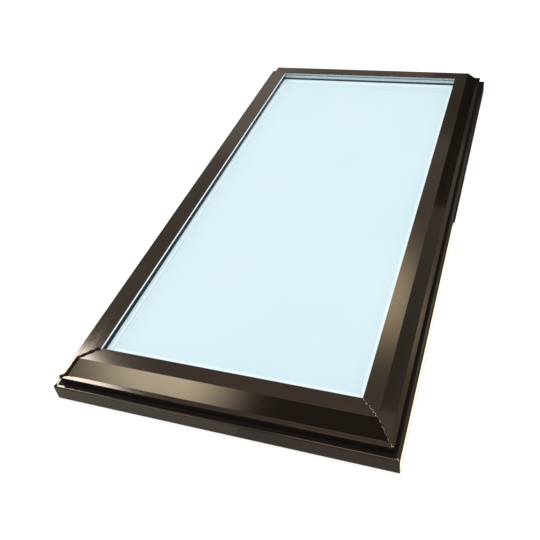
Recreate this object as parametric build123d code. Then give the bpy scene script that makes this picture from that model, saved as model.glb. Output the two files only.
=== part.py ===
"""Fixed curb mount skylight: a sealed double pane held between a mitred cap and a mitred curb frame.

Units are millimetres, +Z is up. The skirt stands on Z = 0 and the unit is centred on X and Y.
The sill faces -Y, the head faces +Y and the jambs run between them.
"""

import os

from build123d import *

# Outside of the skirt, and the roof curb that it drops over
OUTER_WIDTH = 677.0
OUTER_LENGTH = 1335.0
CURB_CLEARANCE = 14.65
CURB_THICKNESS = 38.1

# Wall of the extruded sections and the hairline left open at each mitre
WALL = 2.0
MITRE_GAP = 0.15
EDGE_ROUND = 0.6

# Heights of the curb frame
SKIRT_HEIGHT = 35.2
RECESS_HEIGHT = 14.7

# The glazing stack on the frame's shelf, from below
TAPE_THICKNESS = 1.6
PANE_THICKNESS = 4.0
CAVITY = 14.0
BEAD_HEIGHT = 5.6

# Steps across the section, from the outside of the skirt in to the sight line
LOWER_LEDGE = 14.6
CAP_OVERHANG = 2.4
CAP_LEDGE = 9.0
CHAMFER_RUN = 23.9
TOP_FACE = 33.0

# Curb frame details
SKIRT_ROUND = 3.0
RECESS_COVE = 1.0
SHELF_SETBACK = 2.0
GUTTER_LIP_HEIGHT = 6.5
GUTTER_LIP_WALL = 1.5

# Cap details
DRIP_DROP = 1.4
DRIP_WALL = 1.6
SNAP_LEG_WALL = 1.6
SNAP_LEG_LENGTH = 12.0
CAP_CLEARANCE = 0.3

# Glazing details, set back from the sight line
BEAD_SETBACK = 0.8
BEAD_WIDTH = 7.0
SPACER_SETBACK = 5.0
SPACER_WIDTH = 7.0
SPACER_SHOULDER = 2.5
SEAL_DEPTH = 5.2
TAPE_SETBACK = 3.0
TAPE_EDGE = 2.3
PANE_EDGE_CLEARANCE = 3.5
PANE_ARRIS = 0.5

# Foam strip under the curb flange, lying on the middle of the curb
CURB_GASKET_HEIGHT = 6.0
CURB_GASKET_MARGIN = 3.35

# How far each line of the section lies in from the outside of the skirt
CAP_TIP_INSET = LOWER_LEDGE - CAP_OVERHANG
CHAMFER_FOOT_INSET = CAP_TIP_INSET + CAP_LEDGE
CHAMFER_TOP_INSET = CHAMFER_FOOT_INSET + CHAMFER_RUN
SIGHT_INSET = CHAMFER_TOP_INSET + TOP_FACE
SPACER_FACE_INSET = SIGHT_INSET - SPACER_SETBACK
SPACER_BACK_INSET = SPACER_FACE_INSET - SPACER_WIDTH
PANE_INSET = SPACER_BACK_INSET - SEAL_DEPTH
UPSTAND_INSET = PANE_INSET - PANE_EDGE_CLEARANCE - WALL

# Levels that follow from the stack
FLANGE_Z = SKIRT_HEIGHT - WALL
SEAT_Z = SKIRT_HEIGHT + RECESS_HEIGHT
CAP_LEDGE_Z = SEAT_Z + WALL
INNER_PANE_Z = SEAT_Z + TAPE_THICKNESS
CAVITY_Z = INNER_PANE_Z + PANE_THICKNESS
OUTER_PANE_Z = CAVITY_Z + CAVITY
GLASS_TOP_Z = OUTER_PANE_Z + PANE_THICKNESS
SOFFIT_Z = GLASS_TOP_Z + BEAD_HEIGHT
TOP_Z = SOFFIT_Z + WALL

# Each side as its span, its depth across the unit and its turn about Z
SIDES = {
    "sill": (OUTER_WIDTH, OUTER_LENGTH, 0),
    "right_jamb": (OUTER_LENGTH, OUTER_WIDTH, 90),
    "head": (OUTER_WIDTH, OUTER_LENGTH, 180),
    "left_jamb": (OUTER_LENGTH, OUTER_WIDTH, 270),
}


def web(inset_out, inset_in, low, high):
    """One straight wall of a section, between two insets and two heights."""
    middle = Pos(-(inset_out + inset_in) / 2, (low + high) / 2)
    return middle * Rectangle(inset_in - inset_out, high - low)


def rounded_at(section, inset, height, radius):
    """The section with the corner at one inset and height rounded."""
    corner = Vector(-inset, height)
    near = section.vertices().sort_by(lambda v: (Vector(v.X, v.Y) - corner).length)[0]
    return fillet(near, radius)


def cap_section():
    """Retainer cap: flat top, chamfer and ledge in one wall, with a drip tip and a snap leg."""
    outer_line = Polyline(
        (-SIGHT_INSET, TOP_Z),
        (-CHAMFER_TOP_INSET, TOP_Z),
        (-CHAMFER_FOOT_INSET, CAP_LEDGE_Z),
        (-CAP_TIP_INSET, CAP_LEDGE_Z),
    )
    section = make_face(offset(outer_line, WALL, side=Side.RIGHT, kind=Kind.INTERSECTION))
    section += web(CAP_TIP_INSET, CAP_TIP_INSET + DRIP_WALL, SEAT_Z - DRIP_DROP, CAP_LEDGE_Z)
    leg_inset = UPSTAND_INSET - CAP_CLEARANCE
    section += web(leg_inset - SNAP_LEG_WALL, leg_inset, SOFFIT_Z - SNAP_LEG_LENGTH, SOFFIT_Z + WALL / 2)
    section = rounded_at(section, leg_inset, SOFFIT_Z - SNAP_LEG_LENGTH, EDGE_ROUND)
    section = rounded_at(section, SIGHT_INSET, TOP_Z, EDGE_ROUND)
    section = rounded_at(section, CHAMFER_TOP_INSET, TOP_Z, EDGE_ROUND)
    section = rounded_at(section, CHAMFER_FOOT_INSET, CAP_LEDGE_Z, EDGE_ROUND)
    return rounded_at(section, CAP_TIP_INSET, CAP_LEDGE_Z, EDGE_ROUND)


def curb_frame_section():
    """Curb frame: skirt, curb flange, hollow chamber, glazing shelf, upstand and drip gutter."""
    lip_top = SKIRT_HEIGHT + GUTTER_LIP_HEIGHT
    section = web(0, WALL, 0, SKIRT_HEIGHT)
    section += web(0, SIGHT_INSET, FLANGE_Z, SKIRT_HEIGHT)
    section += web(LOWER_LEDGE, LOWER_LEDGE + WALL, SKIRT_HEIGHT, SEAT_Z)
    section += web(LOWER_LEDGE, SIGHT_INSET - SHELF_SETBACK, SEAT_Z - WALL, SEAT_Z)
    section += web(UPSTAND_INSET, UPSTAND_INSET + WALL, SKIRT_HEIGHT, SOFFIT_Z - CAP_CLEARANCE)
    section += web(SIGHT_INSET - GUTTER_LIP_WALL, SIGHT_INSET, SKIRT_HEIGHT, lip_top)
    section = rounded_at(section, 0, 0, EDGE_ROUND)
    section = rounded_at(section, SIGHT_INSET, lip_top, EDGE_ROUND)
    section = rounded_at(section, 0, SKIRT_HEIGHT, SKIRT_ROUND)
    return rounded_at(section, LOWER_LEDGE, SKIRT_HEIGHT, RECESS_COVE)


def bead_section():
    """Glazing bead squeezed between the cap and the outer pane, with a hollowed face."""
    face_inset = SIGHT_INSET - BEAD_SETBACK
    section = web(face_inset - BEAD_WIDTH, face_inset, GLASS_TOP_Z, SOFFIT_Z)
    hollow = Pos(-face_inset - BEAD_HEIGHT, (GLASS_TOP_Z + SOFFIT_Z) / 2) * Circle(BEAD_HEIGHT * 1.12)
    return section - hollow


def spacer_section():
    """Spacer bar between the panes, shouldered on the side that the edge seal fills."""
    section = web(SPACER_BACK_INSET, SPACER_FACE_INSET, CAVITY_Z, OUTER_PANE_Z)
    back = section.vertices().sort_by(Axis.X)[-2:]
    return chamfer(back, SPACER_SHOULDER)


def seal_section():
    """Edge seal poured behind the spacer, flush with the edges of the panes."""
    section = web(PANE_INSET, SPACER_BACK_INSET + SPACER_SHOULDER, CAVITY_Z, OUTER_PANE_Z)
    return section - spacer_section()


def tape_section():
    """Glazing tape between the shelf and the inner pane."""
    return web(PANE_INSET + TAPE_EDGE, SIGHT_INSET - TAPE_SETBACK, SEAT_Z, INNER_PANE_Z)


def curb_gasket_section():
    """Foam strip stuck under the curb flange."""
    near = CURB_CLEARANCE + CURB_GASKET_MARGIN
    far = CURB_CLEARANCE + CURB_THICKNESS - CURB_GASKET_MARGIN
    return web(near, far, FLANGE_Z - CURB_GASKET_HEIGHT, FLANGE_Z)


def mitred_bar(section, span, depth, turn):
    """A length of one section along one side of the unit, mitred at both ends."""
    outside = Plane(origin=(0, -depth / 2, 0), x_dir=(0, -1, 0), z_dir=(-1, 0, 0))
    bar = extrude(outside * section, amount=span / 2, both=True)
    for hand in (-1, 1):
        out = Vector(hand, 1, 0).normalized()
        corner = Vector(hand * span / 2, -depth / 2, 0) - out * MITRE_GAP
        bar = split(bar, bisect_by=Plane(origin=corner, z_dir=out), keep=Keep.BOTTOM)
    return Rot(0, 0, turn) * bar


def pane(bottom):
    """One sheet of the sealed unit, with its edges just clear of the upstand."""
    width = OUTER_WIDTH - 2 * PANE_INSET
    length = OUTER_LENGTH - 2 * PANE_INSET
    low = (Align.CENTER, Align.CENTER, Align.MIN)
    sheet = Box(width, length, PANE_THICKNESS, align=low)
    rims = sheet.faces().filter_by(Axis.Z).edges()
    return Pos(0, 0, bottom) * chamfer(rims, PANE_ARRIS)


SECTIONS = {
    "cap": cap_section,
    "curb_frame": curb_frame_section,
    "glazing_bead": bead_section,
    "spacer": spacer_section,
    "edge_seal": seal_section,
    "glazing_tape": tape_section,
    "curb_gasket": curb_gasket_section,
}


def build():
    """Every piece of the skylight by the name of its node."""
    pieces = {}
    for kind, draw in SECTIONS.items():
        section = draw()
        for side, (span, depth, turn) in SIDES.items():
            pieces[f"{kind}_{side}"] = mitred_bar(section, span, depth, turn)
    pieces["outer_pane"] = pane(OUTER_PANE_Z)
    pieces["inner_pane"] = pane(INNER_PANE_Z)
    return pieces


if __name__ == "__main__":
    os.makedirs("parts", exist_ok=True)
    for name, solid in build().items():
        export_step(solid, os.path.join("parts", f"{name}.step"))
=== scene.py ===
"""Looks of a fixed curb mount skylight: its finishes, its mitre details and the studio."""

import logging
import math
import random
from dataclasses import dataclass, field
from enum import Enum
from typing import Any

import bmesh
import bpy
from mathutils import Matrix, Vector


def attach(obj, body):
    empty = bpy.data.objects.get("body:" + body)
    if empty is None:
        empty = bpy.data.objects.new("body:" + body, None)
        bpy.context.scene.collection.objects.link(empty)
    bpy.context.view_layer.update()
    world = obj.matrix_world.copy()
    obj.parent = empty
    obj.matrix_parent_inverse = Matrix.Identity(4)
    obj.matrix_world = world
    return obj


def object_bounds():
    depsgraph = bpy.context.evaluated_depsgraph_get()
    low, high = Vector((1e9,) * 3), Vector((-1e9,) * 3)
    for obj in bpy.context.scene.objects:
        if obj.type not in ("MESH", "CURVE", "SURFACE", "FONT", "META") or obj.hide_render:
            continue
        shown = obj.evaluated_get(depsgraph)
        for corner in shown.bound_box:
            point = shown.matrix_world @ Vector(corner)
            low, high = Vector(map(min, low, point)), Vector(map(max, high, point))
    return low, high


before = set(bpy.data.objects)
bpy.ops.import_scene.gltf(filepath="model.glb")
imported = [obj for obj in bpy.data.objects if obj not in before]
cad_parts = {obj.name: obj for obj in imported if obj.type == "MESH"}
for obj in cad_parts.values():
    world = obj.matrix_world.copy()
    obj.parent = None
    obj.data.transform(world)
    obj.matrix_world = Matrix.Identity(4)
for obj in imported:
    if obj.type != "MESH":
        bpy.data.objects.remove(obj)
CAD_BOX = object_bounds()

LOG = logging.getLogger("skylight")

Colour = tuple[float, float, float, float]
Triple = tuple[float, float, float]
Span = tuple[float, float]
# A node with the name or number of the output that feeds another node
Feed = tuple[bpy.types.Node, str | int]

# Nearly all values of a noise pattern lie in this span
NOISE_SPAN: Span = (0.3, 0.7)
# A share of nothing and of all, and the same turned round
RISING: Span = (0.0, 1.0)
FALLING: Span = (1.0, 0.0)
# Radians that the band texture turns through for each unit of its scale
BAND_TURN = 20.0
# The Mix node's sockets for colours, by number, because its sockets share their names
MIX_SHARE, MIX_LOW, MIX_HIGH, MIX_RESULT = 0, 6, 7, 2
# Points nearer than this, in metres, are one point
MERGE = 0.00001
WHITE = "#FFFFFF"
# Half of a panel's cloth in its own coordinates, and how far past its rim the cloth fades out
HALF_CLOTH = 0.5
PAST_RIM = 0.0001


class Run(Enum):
    """The way a length of extrusion lies, which its die lines follow."""

    ALONG_X = "X"
    ALONG_Y = "Y"


class Side(Enum):
    """The four lengths of each mitred ring, with the way they lie."""

    SILL = ("sill", Run.ALONG_X)
    RIGHT_JAMB = ("right_jamb", Run.ALONG_Y)
    HEAD = ("head", Run.ALONG_X)
    LEFT_JAMB = ("left_jamb", Run.ALONG_Y)

    @property
    def label(self) -> str:
        """The side's name as it ends a node's name."""
        return self.value[0]

    @property
    def run(self) -> Run:
        """The way this side's lengths lie."""
        return self.value[1]


class Corner(Enum):
    """The four mitres, with the signs of X and Y that they lie at."""

    SILL_LEFT = (-1, -1)
    SILL_RIGHT = (1, -1)
    HEAD_RIGHT = (1, 1)
    HEAD_LEFT = (-1, 1)


def linear(code: str) -> Colour:
    """Turn an sRGB hex code into a linear colour.

    Args:
        code: Six hex digits after a hash sign.

    Returns:
        Linear red, green and blue with full alpha.
    """
    parts = [int(code[i : i + 2], 16) / 255 for i in (1, 3, 5)]
    red, green, blue = (
        p / 12.92 if p <= 0.04045 else ((p + 0.055) / 1.055) ** 2.4 for p in parts
    )
    return (red, green, blue, 1.0)


def per_mm(size: float) -> float:
    """The texture scale, in repeats a metre, of a pattern whose period is a size in millimetres."""
    return 1000.0 / size


def metres(millimetres: float) -> float:
    """A length in metres, from millimetres."""
    return millimetres / 1000


def add_node(
    tree: bpy.types.NodeTree,
    kind: str,
    settings: dict[Any, Any] | None = None,
    links: dict[Any, Feed] | None = None,
) -> bpy.types.Node:
    """Add one node with its settings and links.

    Args:
        tree: The node tree that the node goes into.
        kind: The node's type, without the ShaderNode prefix.
        settings: Values by the name of a property, or by the name or number of an input.
        links: For inputs by name or number, the node and the output that feeds them.

    Returns:
        The new node.
    """
    node = tree.nodes.new("ShaderNode" + kind)
    for key, value in (settings or {}).items():
        if isinstance(key, str) and key in node.bl_rna.properties:
            setattr(node, key, value)
        else:
            node.inputs[key].default_value = value
    for key, (source, output) in (links or {}).items():
        tree.links.new(source.outputs[output], node.inputs[key])
    return node


def calculate(tree: bpy.types.NodeTree, operation: str, *terms: float | Feed) -> Feed:
    """Reckon with numbers and with what other nodes give.

    Args:
        tree: The node tree.
        operation: The Math node's operation.
        terms: Its inputs in order, each a number or the output that feeds it.

    Returns:
        The result.
    """
    feeds = {place: term for place, term in enumerate(terms) if isinstance(term, tuple)}
    numbers = {place: term for place, term in enumerate(terms) if place not in feeds}
    return add_node(tree, "Math", {"operation": operation, **numbers}, feeds), "Value"


def remap(
    tree: bpy.types.NodeTree, value: Feed, start: Span, end: Span, interpolation: str = "LINEAR"
) -> Feed:
    """Carry a value from one span over to another, and hold it at the ends.

    Args:
        tree: The node tree.
        value: What is carried over.
        start: The span that it comes from.
        end: The span that it goes to.
        interpolation: How it runs between the ends.

    Returns:
        The result.
    """
    settings = {
        "interpolation_type": interpolation,
        "From Min": start[0],
        "From Max": start[1],
        "To Min": end[0],
        "To Max": end[1],
    }
    return add_node(tree, "MapRange", settings, {"Value": value}), "Result"


def blend(tree: bpy.types.NodeTree, share: Feed, low: str | Feed, high: str | Feed) -> Feed:
    """Mix two colours.

    Args:
        tree: The node tree.
        share: How much of the second colour there is.
        low: The first colour, as a hex code or as the output that gives it.
        high: The second colour, likewise.

    Returns:
        The mixed colour.
    """
    ends = {MIX_LOW: low, MIX_HIGH: high}
    fixed = {place: linear(end) for place, end in ends.items() if isinstance(end, str)}
    feeds = {place: end for place, end in ends.items() if place not in fixed}
    settings = {"data_type": "RGBA", **fixed}
    return add_node(tree, "Mix", settings, {MIX_SHARE: share, **feeds}), MIX_RESULT


def noise(
    tree: bpy.types.NodeTree, spot: Feed, size_mm: float, detail: float, roughness: float = 0.5
) -> Feed:
    """Draw a cloudy pattern.

    Args:
        tree: The node tree.
        spot: The coordinates that it is drawn in.
        size_mm: The size of its clouds.
        detail: How many finer layers it has.
        roughness: How strong the finer layers are.

    Returns:
        The pattern, about 0.5.
    """
    settings = {"Scale": per_mm(size_mm), "Detail": detail, "Roughness": roughness}
    return add_node(tree, "TexNoise", settings, {"Vector": spot}), "Fac"


def drawn_out(tree: bpy.types.NodeTree, spot: Feed, run: Run, share: float) -> Feed:
    """Stretch the coordinates of a pattern along a bar.

    Args:
        tree: The node tree.
        spot: The coordinates.
        run: The way the bar lies.
        share: How much of its rate of change the pattern keeps along the bar.

    Returns:
        The stretched coordinates.
    """
    scale = (share, 1.0, 1.0) if run is Run.ALONG_X else (1.0, share, 1.0)
    return add_node(tree, "Mapping", {"Scale": scale}, {"Vector": spot}), "Vector"


def raised(
    tree: bpy.types.NodeTree,
    height: Feed,
    strength: float,
    depth_mm: float,
    under: Feed | None = None,
) -> Feed:
    """Raise a pattern on a surface.

    Args:
        tree: The node tree.
        height: The pattern.
        strength: How much of it shows.
        depth_mm: How deep it is.
        under: The relief that it lies on, if any.

    Returns:
        The surface normal.
    """
    settings = {"Strength": strength, "Distance": metres(depth_mm)}
    feeds = {"Height": height, "Normal": under} if under else {"Height": height}
    return add_node(tree, "Bump", settings, feeds), "Normal"


def empty_tree(owner: bpy.types.Material | bpy.types.World) -> bpy.types.NodeTree:
    """Give a material or a world an empty node tree.

    Args:
        owner: The material or world.

    Returns:
        Its node tree.
    """
    owner.use_nodes = True
    owner.node_tree.nodes.clear()
    return owner.node_tree


def put_out(tree: bpy.types.NodeTree, shader: Feed) -> None:
    """Make a shader the surface of its material."""
    add_node(tree, "OutputMaterial", None, {"Surface": shader})


@dataclass(frozen=True)
class Finish:
    """A surface finish, named for its material and for how the surface was made."""

    name: str

    def new_tree(self) -> tuple[bpy.types.Material, bpy.types.NodeTree, Feed]:
        """Start an empty material.

        Returns:
            The material, its node tree and the object's coordinates in it.
        """
        material = bpy.data.materials.new(self.name)
        tree = empty_tree(material)
        return material, tree, (add_node(tree, "TexCoord"), "Object")

    def make(self) -> bpy.types.Material:
        """Build the material; each finish has its own."""
        raise NotImplementedError


@dataclass(frozen=True)
class BronzeAnodised(Finish):
    """Dark bronze anodised aluminium, extruded and sealed to a satin gloss.

    It gives a warm brown that is nearly black where it mirrors something dark and turns to gold
    where it mirrors a lamp, with faint die lines along the bar that break up long reflections.
    """

    run: Run = Run.ALONG_X
    light: str = "#3A3129"
    deep: str = "#332B24"
    edge_tint: str = "#EDE9E2"
    gloss: Span = (0.10, 0.14)
    cloud_mm: float = 260.0
    cloud_span: Span = (0.35, 0.65)
    # Real die lines lie some 0.2 mm apart, too fine to show, so they are drawn coarser
    die_line_mm: float = 1.6
    die_line_stretch: float = 0.012
    die_line_strength: float = 0.06
    die_line_depth_mm: float = 0.04
    # The sealed skin's unevenness, likewise coarser than the real one
    peel_mm: float = 2.4
    peel_strength: float = 0.08
    peel_depth_mm: float = 0.06
    # Partly matt, so that faces in shade keep their brown
    metallic: float = 0.7
    specular: float = 0.1

    def make(self) -> bpy.types.Material:
        """Build the anodised metal.

        Returns:
            The material.
        """
        material, tree, spot = self.new_tree()
        cloud = noise(tree, spot, self.cloud_mm, detail=3.0)
        bar = drawn_out(tree, spot, self.run, self.die_line_stretch)
        lines = noise(tree, bar, self.die_line_mm, detail=2.0, roughness=0.6)
        peel = noise(tree, spot, self.peel_mm, detail=1.0)
        tone = remap(tree, cloud, self.cloud_span, RISING)
        grooves = raised(tree, lines, self.die_line_strength, self.die_line_depth_mm)
        metal = add_node(
            tree,
            "BsdfPrincipled",
            {
                "Metallic": self.metallic,
                "Specular IOR Level": self.specular,
                "Specular Tint": linear(self.edge_tint),
            },
            {
                "Base Color": blend(tree, tone, self.deep, self.light),
                "Roughness": remap(tree, lines, NOISE_SPAN, self.gloss),
                "Normal": raised(tree, peel, self.peel_strength, self.peel_depth_mm, grooves),
            },
        )
        put_out(tree, (metal, "BSDF"))
        return material


@dataclass(frozen=True)
class FloatGlass(Finish):
    """Clear float glass, drawn on a bath of tin and coated against glare.

    The eye gets hardly any mirror from above and a strong one at a flat angle, bent a little by
    the slow roller wave of toughened glass, and a faint cool cast in what shows through.
    """

    clear: str = "#FEFFFF"
    cool: str = "#FBFEFE"
    mirror_index: float = 1.08
    gloss: float = 0.03
    wave_mm: float = 320.0
    wave_strength: float = 0.2
    wave_depth_mm: float = 0.4
    tint_mm: float = 150.0

    def make(self) -> bpy.types.Material:
        """Build the glass as a see-through sheet with a mirror layer on its outer face.

        Returns:
            The material.
        """
        material, tree, spot = self.new_tree()
        wave = noise(tree, spot, self.wave_mm, detail=0.0)
        cloud = noise(tree, spot, self.tint_mm, detail=2.0)
        roller = raised(tree, wave, self.wave_strength, self.wave_depth_mm)
        colour = blend(tree, cloud, self.clear, self.cool)
        through = add_node(tree, "BsdfTransparent", None, {"Color": colour})
        mirror = add_node(
            tree,
            "BsdfGlossy",
            {"Color": linear(WHITE), "Roughness": self.gloss},
            {"Normal": roller},
        )
        edge_on = add_node(tree, "Fresnel", {"IOR": self.mirror_index}, {"Normal": roller})
        front = calculate(tree, "SUBTRACT", 1.0, (add_node(tree, "NewGeometry"), "Backfacing"))
        share = calculate(tree, "MULTIPLY", (edge_on, "Fac"), front)
        layers = {0: share, 1: (through, "BSDF"), 2: (mirror, "BSDF")}
        put_out(tree, (add_node(tree, "MixShader", None, layers), "Shader"))
        return material


@dataclass(frozen=True)
class LaminatedPane(Finish):
    """Inner pane of two sheets laminated on a milky pale blue interlayer.

    It hides the room, so the eye gets one flat pale blue. A whiter margin along the edges is
    painted light against the frame's shade there, faint painted shade lines on the left jamb
    and the head stand for the frame's edge below the pane, and a painted glow beside the
    spacers takes out the shade that they cast.
    """

    glow: str = "#E0EDF4"
    haze: str = "#E1EEF5"
    haze_mm: float = 240.0
    # Painted light: a whiter margin along the edges, against the shade that the frame casts there
    margin: str = "#F4FAFE"
    field_centre: tuple[float, float] = (0.0002, 0.0065)
    field_half: tuple[float, float] = (0.2508, 0.5720)
    fade_mm: float = 3.0
    # Painted shade lines for the frame's edge below the pane, on the left jamb and along the head
    line: str = "#B9CCD4"
    jamb_line_at: float = -0.2518
    jamb_line_mm: float = 1.8
    head_line_at: float = 0.5500
    head_line_mm: float = 2.6
    head_line_start: Span = (-0.08, 0.06)
    head_line_share: Span = (0.0, 0.45)
    # Painted glow, strongest at the pane's edges, in place of the shade that the spacers cast
    through: str = "#C4E6FA"
    lift: float = 0.32
    lift_fall: float = 3.0
    lift_reach_mm: Span = (-14.8, 15.2)
    index: float = 1.5
    gloss: float = 0.5
    specular: float = 0.04

    def lines(self, tree: bpy.types.NodeTree, spot: Feed) -> Feed:
        """Paint the faint shade lines that stand for the frame's edge below the pane.

        Args:
            tree: The node tree.
            spot: The object's coordinates.

        Returns:
            How much of a line's colour there is.
        """
        at = add_node(tree, "SeparateXYZ", None, {"Vector": spot})
        jamb_half = metres(self.jamb_line_mm / 2)
        head_half = metres(self.head_line_mm / 2)
        on_jamb = calculate(tree, "COMPARE", (at, "X"), self.jamb_line_at, jamb_half)
        on_head = calculate(tree, "COMPARE", (at, "Y"), self.head_line_at, head_half)
        fade = remap(tree, (at, "X"), self.head_line_start, self.head_line_share)
        return calculate(tree, "MAXIMUM", on_jamb, calculate(tree, "MULTIPLY", on_head, fade))

    def make(self) -> bpy.types.Material:
        """Build the pane.

        Returns:
            The material.
        """
        material, tree, spot = self.new_tree()
        centre = (-self.field_centre[0], -self.field_centre[1], 0.0)
        moved = add_node(tree, "Mapping", {"Location": centre}, {"Vector": spot})
        axes = add_node(tree, "SeparateXYZ", None, {"Vector": (moved, "Vector")})
        gaps = [
            calculate(tree, "SUBTRACT", half, calculate(tree, "ABSOLUTE", (axes, axis)))
            for axis, half in zip("XY", self.field_half)
        ]
        inside = calculate(tree, "MINIMUM", *gaps)
        # The margin is painted lighter, against the frame's shade along the edges
        bare = remap(tree, inside, (0.0, metres(self.fade_mm)), FALLING)
        # A painted glow that fades inwards from the edges, in place of the spacers' shade
        reach = (metres(self.lift_reach_mm[0]), metres(self.lift_reach_mm[1]))
        edge = calculate(tree, "POWER", remap(tree, inside, reach, FALLING), self.lift_fall)
        cloud = noise(tree, spot, self.haze_mm, detail=2.0)
        middle = blend(tree, cloud, self.glow, self.haze)
        bordered = blend(tree, bare, middle, self.margin)
        pane = add_node(
            tree,
            "BsdfPrincipled",
            {
                "IOR": self.index,
                "Roughness": self.gloss,
                "Specular IOR Level": self.specular,
                "Emission Color": linear(self.through),
            },
            {
                "Base Color": blend(tree, self.lines(tree, spot), bordered, self.line),
                "Emission Strength": calculate(tree, "MULTIPLY", edge, self.lift),
            },
        )
        put_out(tree, (pane, "BSDF"))
        return material


@dataclass(frozen=True)
class SpacerMetal(Finish):
    """Roll-formed aluminium spacer bar with a line of breather slits and a butyl line at its foot.

    It gives a soft streaked metal between the panes, broken by the slits, over a band of butyl
    that draws the edge of the lower pane.
    """

    run: Run = Run.ALONG_X
    bright: str = "#DDE6EA"
    dull: str = "#C2CDD3"
    # The foot band: black butyl by default; along the jambs it is painted pale, as light against
    # the shade there
    butyl: str = "#0A1A22"
    slit: str = "#0A1A22"
    foot: float = 0.0555
    butyl_mm: float = 6.4
    butyl_edge_mm: float = 0.4
    slit_mm: float = 7.0
    slit_span: Span = (0.9, 0.97)
    slit_share: Span = (0.0, 0.3)
    # Real rolling streaks are some 0.1 mm wide, too fine to show, so they are drawn coarser
    streak_mm: float = 0.8
    streak_stretch: float = 0.02
    gloss: Span = (0.34, 0.46)
    metallic: float = 0.6
    specular: float = 0.5

    def make(self) -> bpy.types.Material:
        """Build the metal.

        Returns:
            The material.
        """
        material, tree, spot = self.new_tree()
        bar = drawn_out(tree, spot, self.run, self.streak_stretch)
        streaks = noise(tree, bar, self.streak_mm, detail=3.0)
        bands = {
            "wave_type": "BANDS",
            "bands_direction": self.run.value,
            "Scale": per_mm(self.slit_mm) / BAND_TURN * 2 * math.pi,
        }
        slits = add_node(tree, "TexWave", bands, {"Vector": spot})
        cut = remap(tree, (slits, "Fac"), self.slit_span, self.slit_share)
        vented = blend(tree, cut, blend(tree, streaks, self.dull, self.bright), self.slit)
        axes = add_node(tree, "SeparateXYZ", None, {"Vector": spot})
        lap_top = self.foot + metres(self.butyl_mm)
        lap_edge = self.foot + metres(self.butyl_mm - self.butyl_edge_mm)
        lapped = remap(tree, (axes, "Z"), (lap_edge, lap_top), FALLING)
        metal = add_node(
            tree,
            "BsdfPrincipled",
            {"Specular IOR Level": self.specular},
            {
                "Base Color": blend(tree, lapped, vented, self.butyl),
                "Metallic": remap(tree, lapped, RISING, (self.metallic, 0.0)),
                "Roughness": remap(tree, streaks, NOISE_SPAN, self.gloss),
            },
        )
        put_out(tree, (metal, "BSDF"))
        return material


@dataclass(frozen=True)
class Sealant(Finish):
    """Tooled, pressed or extruded rubber: matt, slightly uneven, with a fine skin.

    It gives the eye a soft edge with no mirror in it, and a pale bead may get a painted glow.
    """

    light: str = "#1C1D1E"
    deep: str = "#131415"
    rough: Span = (0.45, 0.65)
    grain_mm: float = 3.0
    relief: float = 0.25
    relief_mm: float = 0.15
    index: float = 1.45
    specular: float = 0.5
    # A painted glow that lightens a pale bead where the cap shades it; none unless given
    lift: float = 0.0

    def make(self) -> bpy.types.Material:
        """Build the sealant.

        Returns:
            The material.
        """
        material, tree, spot = self.new_tree()
        grain = noise(tree, spot, self.grain_mm, detail=4.0, roughness=0.55)
        body = add_node(
            tree,
            "BsdfPrincipled",
            {
                "IOR": self.index,
                "Specular IOR Level": self.specular,
                "Emission Color": linear(self.light),
                "Emission Strength": self.lift,
            },
            {
                "Base Color": blend(tree, grain, self.deep, self.light),
                "Roughness": remap(tree, grain, NOISE_SPAN, self.rough),
                "Normal": raised(tree, grain, self.relief, self.relief_mm),
            },
        )
        put_out(tree, (body, "BSDF"))
        return material


@dataclass(frozen=True)
class CellFoam(Finish):
    """Closed-cell foam strip, slit from a sheet.

    It gives the eye a dull charcoal, with the cut cells showing as pits.
    """

    light: str = "#2C2D2F"
    deep: str = "#1A1B1C"
    # Real cells are some 0.3 mm across, too fine to show, so they are drawn coarser
    cell_mm: float = 1.4
    pit_strength: float = 0.5
    pit_depth_mm: float = 0.4
    rough: float = 0.92
    specular: float = 0.2

    def make(self) -> bpy.types.Material:
        """Build the foam.

        Returns:
            The material.
        """
        material, tree, spot = self.new_tree()
        cells = add_node(tree, "TexVoronoi", {"Scale": per_mm(self.cell_mm)}, {"Vector": spot})
        wall = (cells, "Distance")
        body = add_node(
            tree,
            "BsdfPrincipled",
            {"Roughness": self.rough, "Specular IOR Level": self.specular},
            {
                "Base Color": blend(tree, wall, self.deep, self.light),
                "Normal": raised(tree, wall, self.pit_strength, self.pit_depth_mm),
            },
        )
        put_out(tree, (body, "BSDF"))
        return material


@dataclass(frozen=True)
class BareAluminium(Finish):
    """Raw aluminium where the saw chipped off the finish.

    It gives the eye small torn spots, some bright and some dull.
    """

    bright: str = "#B5A698"
    dull: str = "#65594D"
    grain_mm: float = 0.9
    torn_strength: float = 0.3
    torn_depth_mm: float = 0.1
    metallic: float = 0.35
    rough: float = 0.5

    def make(self) -> bpy.types.Material:
        """Build the metal.

        Returns:
            The material.
        """
        material, tree, spot = self.new_tree()
        grain = noise(tree, spot, self.grain_mm, detail=3.0)
        metal = add_node(
            tree,
            "BsdfPrincipled",
            {"Metallic": self.metallic, "Roughness": self.rough},
            {
                "Base Color": blend(tree, grain, self.dull, self.bright),
                "Normal": raised(tree, grain, self.torn_strength, self.torn_depth_mm),
            },
        )
        put_out(tree, (metal, "BSDF"))
        return material


def dress(name: str, material: bpy.types.Material) -> None:
    """Give a CAD node its finish.

    Args:
        name: The node's name.
        material: The finish for all of its slots.
    """
    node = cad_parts[name]
    if not node.material_slots:
        node.data.materials.append(material)
    for socket in node.material_slots:
        socket.material = material
    LOG.info("dressed %s in %s", name, material.name)


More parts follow.
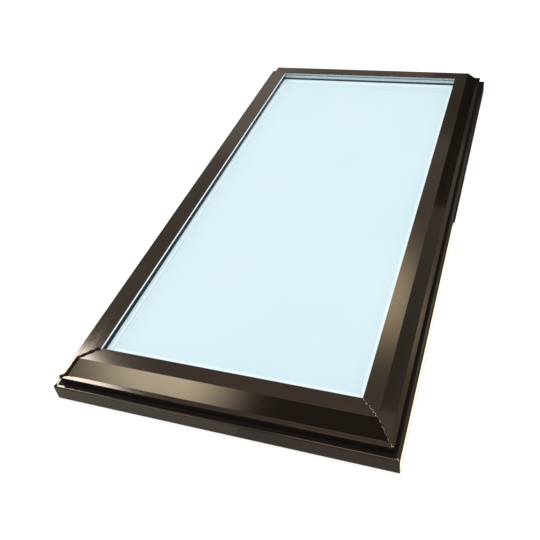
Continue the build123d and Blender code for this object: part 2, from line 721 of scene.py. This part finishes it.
def new_object(
    name: str, shape: bmesh.types.BMesh, material: bpy.types.Material
) -> bpy.types.Object:
    """Put a bmesh into the scene as an object at the origin.

    Args:
        name: The object's name.
        shape: Its shape, in place, which this frees.
        material: Its finish.

    Returns:
        The object.
    """
    mesh = bpy.data.meshes.new(name)
    shape.to_mesh(mesh)
    shape.free()
    mesh.materials.append(material)
    made = bpy.data.objects.new(name, mesh)
    bpy.context.collection.objects.link(made)
    return made


def new_piece(
    name: str, shape: bmesh.types.BMesh, material: bpy.types.Material
) -> None:
    """Make an object of the skylight from a finished bmesh, riding on the skylight.

    Args:
        name: The piece's name.
        shape: Its shape, in place, which this frees.
        material: Its finish.
    """
    bmesh.ops.recalc_face_normals(shape, faces=shape.faces)
    piece = new_object(name, shape, material)
    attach(piece, "root")
    LOG.info("made %s, %d faces", name, len(piece.data.polygons))


def sweep(
    shape: bmesh.types.BMesh, ring: list[bmesh.types.BMVert], places: list[Matrix]
) -> tuple[list[bmesh.types.BMEdge], list[bmesh.types.BMEdge]]:
    """Draw a ring of points through a row of places, leaving faces behind it.

    Args:
        shape: The mesh that the ring is in.
        ring: The ring's points, before it is placed.
        places: The transforms that it takes one after the other.

    Returns:
        The edges of the first ring and of the last.
    """
    edges = [edge for edge in shape.edges if all(v in ring for v in edge.verts)]
    first = edges
    last = Matrix.Identity(4)
    for index, here in enumerate(places):
        if index:
            grown = bmesh.ops.extrude_edge_only(shape, edges=edges)["geom"]
            ring = [part for part in grown if isinstance(part, bmesh.types.BMVert)]
            edges = [part for part in grown if isinstance(part, bmesh.types.BMEdge)]
            edges = [edge for edge in edges if all(v in ring for v in edge.verts)]
        bmesh.ops.transform(shape, matrix=here @ last.inverted(), verts=ring)
        last = here
    return first, edges


@dataclass(frozen=True)
class Section:
    """The frame's outside sizes and the lines of its section, in metres."""

    # The box is centred on the unit, so its high corner gives half of the width and length
    half_width: float = CAD_BOX[1][0]
    half_length: float = CAD_BOX[1][1]
    top: float = CAD_BOX[1][2]
    sight_inset: float = 0.0781
    chamfer_top_inset: float = 0.0451
    chamfer_foot_inset: float = 0.0212
    tip_inset: float = 0.0122
    recess_inset: float = 0.0145
    strip_inset: float = 0.0064
    cap_ledge: float = 0.0519
    lower_ledge: float = 0.0352


@dataclass
class MitredRing:
    """A ring of four lengths of one section, mitred at the corners."""

    kind: str
    along_x: Finish
    along_y: Finish

    def dress(self) -> None:
        """Dress the four lengths, each in the finish that runs its own way."""
        made = {finish: finish.make() for finish in (self.along_x, self.along_y)}
        for side in Side:
            finish = self.along_x if side.run is Run.ALONG_X else self.along_y
            dress(f"{self.kind}_{side.label}", made[finish])


@dataclass
class GlazingUnit:
    """The sealed pair of panes with its spacer, edge seal, bead and tape."""

    outer: FloatGlass = FloatGlass("float_glass_clear")
    inner: LaminatedPane = LaminatedPane("laminated_glass_milky_blue")
    # The white bead along the jambs glows with painted light, against the cap's shade
    jamb_bead: Sealant = Sealant(
        "silicone_bead_extruded_white",
        light="#FCFDFD",
        deep="#F1F5F6",
        rough=(0.35, 0.5),
        grain_mm=6.0,
        relief=0.12,
        lift=0.24,
    )
    # The same white bead, painted light grey for the shade that it lies in along the head and the
    # sill
    head_bead: Sealant = Sealant(
        "silicone_bead_extruded_white_painted_shade",
        light="#BAC2C5",
        deep="#AEB7BA",
        rough=(0.35, 0.5),
        grain_mm=6.0,
        relief=0.12,
    )
    seal: Sealant = Sealant("polysulphide_edge_seal_poured_black")
    tape: Sealant = Sealant("butyl_tape_rolled_black", rough=(0.6, 0.8), grain_mm=2.0)
    head_spacer: SpacerMetal = SpacerMetal("aluminium_spacer_rolled_bright", Run.ALONG_X)
    # The same spacer along the jambs, painted blue-black for the shade and dark reflection that it
    # shows there, with a thin pale foot band painted light against that shade
    jamb_spacer: SpacerMetal = SpacerMetal(
        "aluminium_spacer_rolled_blue_black",
        Run.ALONG_Y,
        bright="#0C2430",
        dull="#051A24",
        butyl="#E6EFF3",
        butyl_mm=0.5,
        metallic=0.0,
        specular=0.1,
    )

    def dress(self) -> None:
        """Dress every piece of the unit."""
        dress("outer_pane", self.outer.make())
        dress("inner_pane", self.inner.make())
        MitredRing("glazing_bead", self.head_bead, self.jamb_bead).dress()
        MitredRing("edge_seal", self.seal, self.seal).dress()
        MitredRing("glazing_tape", self.tape, self.tape).dress()
        MitredRing("spacer", self.head_spacer, self.jamb_spacer).dress()


@dataclass
class WeatherStrip:
    """The dull rubber strip on the lower ledge, turned up the recess under the cap's drip.

    Its dark also paints the shade that falls in the recess.
    """

    section: Section = Section()
    thickness: float = 0.0009
    rise: float = 0.0120
    edge: float = 0.0004
    edge_steps: int = 2
    shortest_side: float = 0.1
    # Dark rubber, which also paints the shade in the recess
    rubber: Sealant = Sealant(
        "rubber_weather_strip_painted_shade_black_brown",
        light="#1F1A17",
        deep="#15110F",
        rough=(0.6, 0.75),
        grain_mm=4.0,
        relief=0.1,
        specular=0.05,
    )

    def place(self, inset: float, height: float) -> Matrix:
        """Lay a square of side 2 round the unit.

        Args:
            inset: How far in from the skirt it lies.
            height: How high it lies.

        Returns:
            The square's transform.
        """
        size = (self.section.half_width - inset, self.section.half_length - inset, 1.0, 1.0)
        return Matrix.Translation((0.0, 0.0, height)) @ Matrix.Diagonal(size)

    def build(self) -> None:
        """Make the strip by drawing one loop round its angle section, mitred at the corners."""
        outer, inner = self.section.strip_inset, self.section.recess_inset
        face = inner - self.thickness
        low = self.section.lower_ledge
        flat, high = low + self.thickness, low + self.rise
        outline = (
            (outer, low),
            (outer, flat),
            (face, flat),
            (face, high),
            (inner, high),
            (inner, low),
            (outer, low),
        )
        shape = bmesh.new()
        loop = bmesh.ops.create_circle(shape, segments=4, radius=math.sqrt(2))["verts"]
        bmesh.ops.rotate(shape, verts=loop, matrix=Matrix.Rotation(math.pi / 4, 3, "Z"))
        sweep(shape, loop, [self.place(inset, height) for inset, height in outline])
        bmesh.ops.remove_doubles(shape, verts=shape.verts, dist=MERGE)
        sides = [
            edge
            for edge in shape.edges
            if len(edge.link_faces) == 2 and edge.calc_length() > self.shortest_side
        ]
        bmesh.ops.bevel(
            shape,
            geom=sides,
            offset=self.edge,
            offset_type="OFFSET",
            segments=self.edge_steps,
            profile=0.5,
            affect="EDGES",
            material=-1,
        )
        new_piece("weather_strip", shape, self.rubber.make())


@dataclass
class MitreJoints:
    """What the fitter and the saw left along the mitres: sealant lines and chips of bare metal."""

    section: Section = Section()
    # How far the lines stop short of the ends of the faces that they lie on
    sight_gap: float = 0.0006
    arris_gap: float = 0.0002
    tip_gap: float = 0.0008
    strip_gap: float = 0.0004
    skirt_gap: float = 0.0014
    line_rise: float = 0.0003
    line_step: float = 0.004
    line_fewest_steps: int = 2
    line_points: int = 8
    line_uneven: Span = (0.75, 1.2)
    line_blob: float = 1.5
    ledge_line_share: float = 0.6
    line_width: dict[Corner, float] = field(
        default_factory=lambda: {
            Corner.SILL_LEFT: 0.0088,
            Corner.SILL_RIGHT: 0.0028,
            Corner.HEAD_RIGHT: 0.0016,
            Corner.HEAD_LEFT: 0.0016,
        }
    )
    chip_rise: float = 0.0009
    chip_length: float = 0.0036
    chip_sizes: Span = (0.3, 1.0)
    chip_spacing: Span = (0.1, 0.9)
    chip_aspect: float = 0.55
    chip_stray: float = 0.0009
    chip_turn: float = 0.6
    chip_tear: float = 0.12
    chip_tear_across: float = 0.6
    chip_count: dict[Corner, int] = field(
        default_factory=lambda: {
            Corner.SILL_LEFT: 0,
            Corner.SILL_RIGHT: 40,
            Corner.HEAD_RIGHT: 6,
            Corner.HEAD_LEFT: 6,
        }
    )
    # The ledge has one chip, and one more for each so many on the cap
    cap_chips_per_ledge_chip: int = 20
    first_seed: int = 40
    sealant: Sealant = Sealant(
        "silicone_mitre_seal_tooled_black",
        light="#19120D",
        deep="#0F0A07",
        rough=(0.7, 0.85),
        grain_mm=1.5,
        specular=0.05,
    )
    metal: BareAluminium = BareAluminium("aluminium_bare_saw_chipped")

    def point(self, corner: Corner, inset: float, height: float) -> Vector:
        """Find a point of a mitre.

        Args:
            corner: The mitre.
            inset: How far in from the skirt the point lies.
            height: How high it lies.

        Returns:
            The point.
        """
        hand, end = corner.value
        across = hand * (self.section.half_width - inset)
        return Vector((across, end * (self.section.half_length - inset), height))

    def cap_line(self, corner: Corner) -> list[Vector]:
        """Follow a mitre over the cap.

        Args:
            corner: The mitre.

        Returns:
            The points of its line, from the sight line out to the tip.
        """
        cut = self.section
        return [
            self.point(corner, cut.sight_inset - self.sight_gap, cut.top),
            self.point(corner, cut.chamfer_top_inset + self.arris_gap, cut.top),
            self.point(corner, cut.chamfer_foot_inset, cut.cap_ledge),
            self.point(corner, cut.tip_inset + self.tip_gap, cut.cap_ledge),
        ]

    def ledge_line(self, corner: Corner) -> list[Vector]:
        """Follow a mitre over the lower ledge.

        Args:
            corner: The mitre.

        Returns:
            The points of its line, from the weather strip out to the skirt.
        """
        cut = self.section
        return [
            self.point(corner, cut.strip_inset - self.strip_gap, cut.lower_ledge),
            self.point(corner, self.skirt_gap, cut.lower_ledge),
        ]

    def axes(self, start: Vector, end: Vector) -> tuple[Vector, Vector, Vector]:
        """The directions at one leg of a mitre.

        Args:
            start: The leg's end nearer the sight line.
            end: Its other end.

        Returns:
            Unit vectors along the leg, across it and out of the metal.
        """
        along = (end - start).normalized()
        up = (Vector((0, 0, 1)) - along * along.z).normalized()
        return along, along.cross(up), up

    def seal_line(
        self,
        shape: bmesh.types.BMesh,
        line: list[Vector],
        width: float,
        chance: random.Random,
    ) -> None:
        """Sweep a flat bead of sealant down a mitre, with a blob where it starts.

        Args:
            shape: The mesh that the bead is added to.
            line: The points that it follows.
            width: How wide it is tooled.
            chance: The seeded source of its unevenness.
        """
        places: list[Matrix] = []
        for start, end in zip(line, line[1:]):
            along, across, up = self.axes(start, end)
            count = max(self.line_fewest_steps, round((end - start).length / self.line_step))
            for step in range(count + 1):
                half = width / 2 * chance.uniform(*self.line_uneven)
                half *= 1.0 if places else self.line_blob
                here = Matrix((across * half, up * self.line_rise, along)).transposed().to_4x4()
                here.translation = start.lerp(end, step / count)
                places.append(here)
        ring = bmesh.ops.create_circle(shape, segments=self.line_points, radius=1.0)["verts"]
        for rim in sweep(shape, ring, places):
            bmesh.ops.edgeloop_fill(shape, edges=rim)

    def chips(
        self,
        shape: bmesh.types.BMesh,
        line: list[Vector],
        count: int,
        chance: random.Random,
    ) -> None:
        """Strew flakes of bare metal along a mitre.

        Args:
            shape: The mesh that the flakes are added to.
            line: The points that they follow.
            count: How many there are.
            chance: The seeded source of their sizes and places.
        """
        legs = list(zip(line, line[1:]))
        spans = [(end - start).length for start, end in legs]
        for number in range(count):
            run = (number + chance.uniform(*self.chip_spacing)) / count * sum(spans)
            leg = 0
            while leg < len(legs) - 1 and run > spans[leg]:
                run -= spans[leg]
                leg += 1
            along, across, up = self.axes(*legs[leg])
            size = self.chip_length * chance.uniform(*self.chip_sizes)
            stray = across * chance.uniform(-self.chip_stray, self.chip_stray)
            turn = Matrix.Rotation(chance.uniform(-self.chip_turn, self.chip_turn), 3, up)
            sides = (along * size, across * size * self.chip_aspect, up * self.chip_rise)
            placed = (turn @ Matrix(sides).transposed()).to_4x4()
            placed.translation = legs[leg][0] + along * min(run, spans[leg]) + stray
            flake = bmesh.ops.create_icosphere(shape, subdivisions=2, radius=0.5, matrix=placed)
            for vertex in flake["verts"]:
                pull = chance.uniform(-self.chip_tear, self.chip_tear) * size
                vertex.co += along * pull + across * pull * self.chip_tear_across

    def build(self) -> None:
        """Make the sealant and the chips of all four mitres."""
        black = self.sealant.make()
        bare = self.metal.make()
        for order, corner in enumerate(Corner):
            chance = random.Random(self.first_seed + order)
            tag = corner.name.lower()
            cap, ledge = self.cap_line(corner), self.ledge_line(corner)
            width, count = self.line_width[corner], self.chip_count[corner]
            seal = bmesh.new()
            self.seal_line(seal, cap, width, chance)
            self.seal_line(seal, ledge, width * self.ledge_line_share, chance)
            new_piece(f"mitre_seal_{tag}", seal, black)
            flakes = bmesh.new()
            self.chips(flakes, cap, count, chance)
            self.chips(flakes, ledge, 1 + count // self.cap_chips_per_ledge_chip, chance)
            new_piece(f"mitre_chips_{tag}", flakes, bare)


@dataclass(frozen=True)
class Panel:
    """A panel that only reflections see: a softbox where it is bright, a flag where it is dark."""

    name: str
    place: Triple
    aim: Triple
    width: float
    height: float
    level: float
    colour: str = WHITE
    soft: float = 0.0

    def cloth(self) -> bpy.types.Material:
        """Make the panel's cloth, which fades out towards its rim where it is soft.

        Returns:
            The material.
        """
        material = bpy.data.materials.new("cloth_" + self.name)
        tree = empty_tree(material)
        lit = {"Color": linear(self.colour), "Strength": self.level}
        glow = add_node(tree, "Emission", lit)
        clear = add_node(tree, "BsdfTransparent")
        spot = (add_node(tree, "TexCoord"), "UV")
        axes = add_node(tree, "SeparateXYZ", None, {"Vector": spot})
        fade = (HALF_CLOTH - self.soft / 2, HALF_CLOTH + PAST_RIM)
        fades = []
        for axis in "XY":
            across = calculate(tree, "SUBTRACT", (axes, axis), HALF_CLOTH)
            away = calculate(tree, "ABSOLUTE", across)
            fades.append(remap(tree, away, fade, FALLING, "SMOOTHSTEP"))
        share = calculate(tree, "MULTIPLY", *fades)
        layers = {0: share, 1: (clear, "BSDF"), 2: (glow, "Emission")}
        put_out(tree, (add_node(tree, "MixShader", None, layers), "Shader"))
        return material

    def build(self) -> None:
        """Stand the panel, facing its aim."""
        shape = bmesh.new()
        shape.loops.layers.uv.new("panel")
        bmesh.ops.create_grid(shape, x_segments=1, y_segments=1, size=HALF_CLOTH, calc_uvs=True)
        bmesh.ops.scale(shape, vec=(self.width, self.height, 1.0), verts=shape.verts)
        look = Vector(self.aim) - Vector(self.place)
        turn = look.to_track_quat("-Z", "Y").to_matrix().to_4x4()
        turn.translation = Vector(self.place)
        bmesh.ops.transform(shape, matrix=turn, verts=shape.verts)
        panel = new_object(self.name, shape, self.cloth())
        panel.visible_camera = False
        panel.visible_diffuse = False
        panel.visible_transmission = False
        panel.visible_shadow = False
        LOG.info("stood %s", self.name)


# Each panel's place, aim, width, height, level, and where they differ its colour and soft rim
PANELS = (
    Panel(
        "softbox_front_left", (-1.36, -2.89, 1.13), (-0.12, -0.634, 0.066),
        1.18, 0.9, 19.0, "#F4FFF4", 0.85,
    ),
    Panel(
        "softbox_back_left", (-1.875, -0.005, 1.91), (-0.30, -0.64, 0.06),
        1.45, 0.75, 45.0, "#EDF8FF", 0.05,
    ),
    Panel(
        "softbox_back", (-0.16, 1.49, 1.90), (0.28, -0.37, 0.081),
        0.62, 0.90, 10.0, "#FEFFE9", 0.95,
    ),
    Panel("card_front_right", (-0.20, -2.77, 1.06), (0.20, -0.634, 0.066), 1.0, 0.8, 0.05),
    Panel("card_back_right", (0.26, 2.2, 1.0), (0.26, 0.0, 1.0), 0.66, 0.56, 0.3, soft=0.3),
    Panel("card_back_left", (-1.15, 2.2, 1.10), (-1.15, 0.0, 1.10), 0.80, 0.90, 1.7, soft=0.5),
    Panel("card_right_near", (0.745, 0.08, 0.13), (0.30, -0.30, 0.13), 0.6, 0.3, 0.42),
    Panel("card_right_far", (0.62, 0.82, 0.13), (0.30, 0.32, 0.13), 0.9, 0.3, 0.0),
    Panel("card_floor_front", (0.19, -0.6965, 0.0004), (0.19, -0.6965, 1.0), 0.30, 0.056, 0.8),
    Panel("card_floor_left", (-0.65, 0.15, 0.0006), (-0.65, 0.15, 1.0), 0.60, 1.54, 0.0),
    Panel("card_floor_far", (0.3695, 0.37, 0.0004), (0.3695, 0.37, 1.0), 0.061, 0.70, 0.0),
    Panel(
        "card_floor_near", (0.3695, -0.34, 0.0004), (0.3695, -0.34, 1.0),
        0.061, 0.70, 2.4, "#FFF5E0",
    ),
)


@dataclass
class Studio:
    """The pale floor, the even room light, the lamp, the panels and the camera."""

    floor_size: float = 30.0
    floor_drop: float = 0.0002
    floor_white: str = "#B4B4B4"
    floor_glow: float = 0.73
    room_level: float = 0.62
    lamp_height: float = 5.0
    lamp_size: float = 2.5
    lamp_watts: float = 116.0
    panels: tuple[Panel, ...] = PANELS
    camera_place: Triple = (0.450493, -1.277922, 1.014897)
    camera_forward: Triple = (-0.31996, 0.68234, -0.65729)
    camera_right: Triple = (0.93894, 0.32103, -0.12381)
    lens_mm: float = 44.8025
    sensor_mm: float = 36.0

    def show_ray(self, tree: bpy.types.NodeTree) -> Feed:
        """Tell rays that show a surface from rays that light one.

        Args:
            tree: The material's or the world's node tree.

        Returns:
            1 for camera, glossy and transmission rays that have met nothing matt, or else 0.
        """
        path = add_node(tree, "LightPath")
        seen = calculate(tree, "MAXIMUM", (path, "Is Camera Ray"), (path, "Is Glossy Ray"))
        either = calculate(tree, "MAXIMUM", seen, (path, "Is Transmission Ray"))
        # The depth is a whole number, so less than a half is none
        fresh = calculate(tree, "LESS_THAN", (path, "Diffuse Depth"), 0.5)
        return calculate(tree, "MULTIPLY", either, fresh)

    def lay_floor(self) -> None:
        """Lay the white floor, which keeps the skylight's shadow."""
        shape = bmesh.new()
        bmesh.ops.create_grid(shape, x_segments=1, y_segments=1, size=self.floor_size / 2)
        bmesh.ops.translate(shape, vec=(0, 0, -self.floor_drop), verts=shape.verts)
        material = bpy.data.materials.new("studio_floor_matt_white")
        tree = empty_tree(material)
        matt = add_node(tree, "BsdfDiffuse", {"Color": linear(self.floor_white)})
        glow = calculate(tree, "MULTIPLY", self.show_ray(tree), self.floor_glow)
        white = add_node(tree, "Emission", {"Color": linear(WHITE)}, {"Strength": glow})
        layers = {0: (matt, "BSDF"), 1: (white, "Emission")}
        put_out(tree, (add_node(tree, "AddShader", None, layers), "Shader"))
        floor = new_object("studio_floor", shape, material)

    def light_room(self) -> None:
        """Fill the room with even white light, shown as white where it is seen."""
        world = bpy.data.worlds.new("studio_room")
        tree = empty_tree(world)
        level = remap(tree, self.show_ray(tree), RISING, (self.room_level, 1.0))
        white = add_node(tree, "Background", {"Color": linear(WHITE)}, {"Strength": level})
        add_node(tree, "OutputWorld", None, {"Surface": (white, "Background")})
        bpy.context.scene.world = world

    def hang_lamp(self) -> None:
        """Hang one soft lamp over the skylight, high enough to light the whole pane alike."""
        light = bpy.data.lights.new("softbox_overhead", "AREA")
        light.shape = "SQUARE"
        light.size = self.lamp_size
        light.energy = self.lamp_watts
        lamp = bpy.data.objects.new("softbox_overhead", light)
        lamp.location = (0.0, 0.0, self.lamp_height)
        bpy.context.collection.objects.link(lamp)

    def set_camera(self) -> None:
        """Stand the camera where the photograph was taken from."""
        lens = bpy.data.cameras.new("studio_camera")
        lens.sensor_width = self.sensor_mm
        lens.lens = self.lens_mm
        camera = bpy.data.objects.new("studio_camera", lens)
        bpy.context.collection.objects.link(camera)
        forward = Vector(self.camera_forward).normalized()
        right = Vector(self.camera_right).normalized()
        up = right.cross(forward).normalized()
        turn = Matrix((right, up, -forward)).transposed().to_4x4()
        turn.translation = Vector(self.camera_place)
        camera.matrix_world = turn
        bpy.context.scene.camera = camera

    def build(self) -> None:
        """Set up the whole studio."""
        self.lay_floor()
        self.light_room()
        self.hang_lamp()
        for panel in self.panels:
            panel.build()
        self.set_camera()
        bpy.context.scene.view_settings.view_transform = "Standard"
        LOG.info("set up the studio")


def main() -> None:
    """Dress the skylight, add its trim and mitre details and set up the studio."""
    logging.basicConfig(level=logging.INFO, format="%(name)s: %(message)s")
    for kind, label in (("cap", "cap"), ("curb_frame", "frame")):
        MitredRing(
            kind,
            BronzeAnodised(f"aluminium_{label}_bronze_anodised_x", Run.ALONG_X),
            BronzeAnodised(f"aluminium_{label}_bronze_anodised_y", Run.ALONG_Y),
        ).dress()
    GlazingUnit().dress()
    foam = CellFoam("foam_strip_slit_charcoal")
    MitredRing("curb_gasket", foam, foam).dress()
    WeatherStrip().build()
    MitreJoints().build()
    Studio().build()


if __name__ == "__main__":
    main()
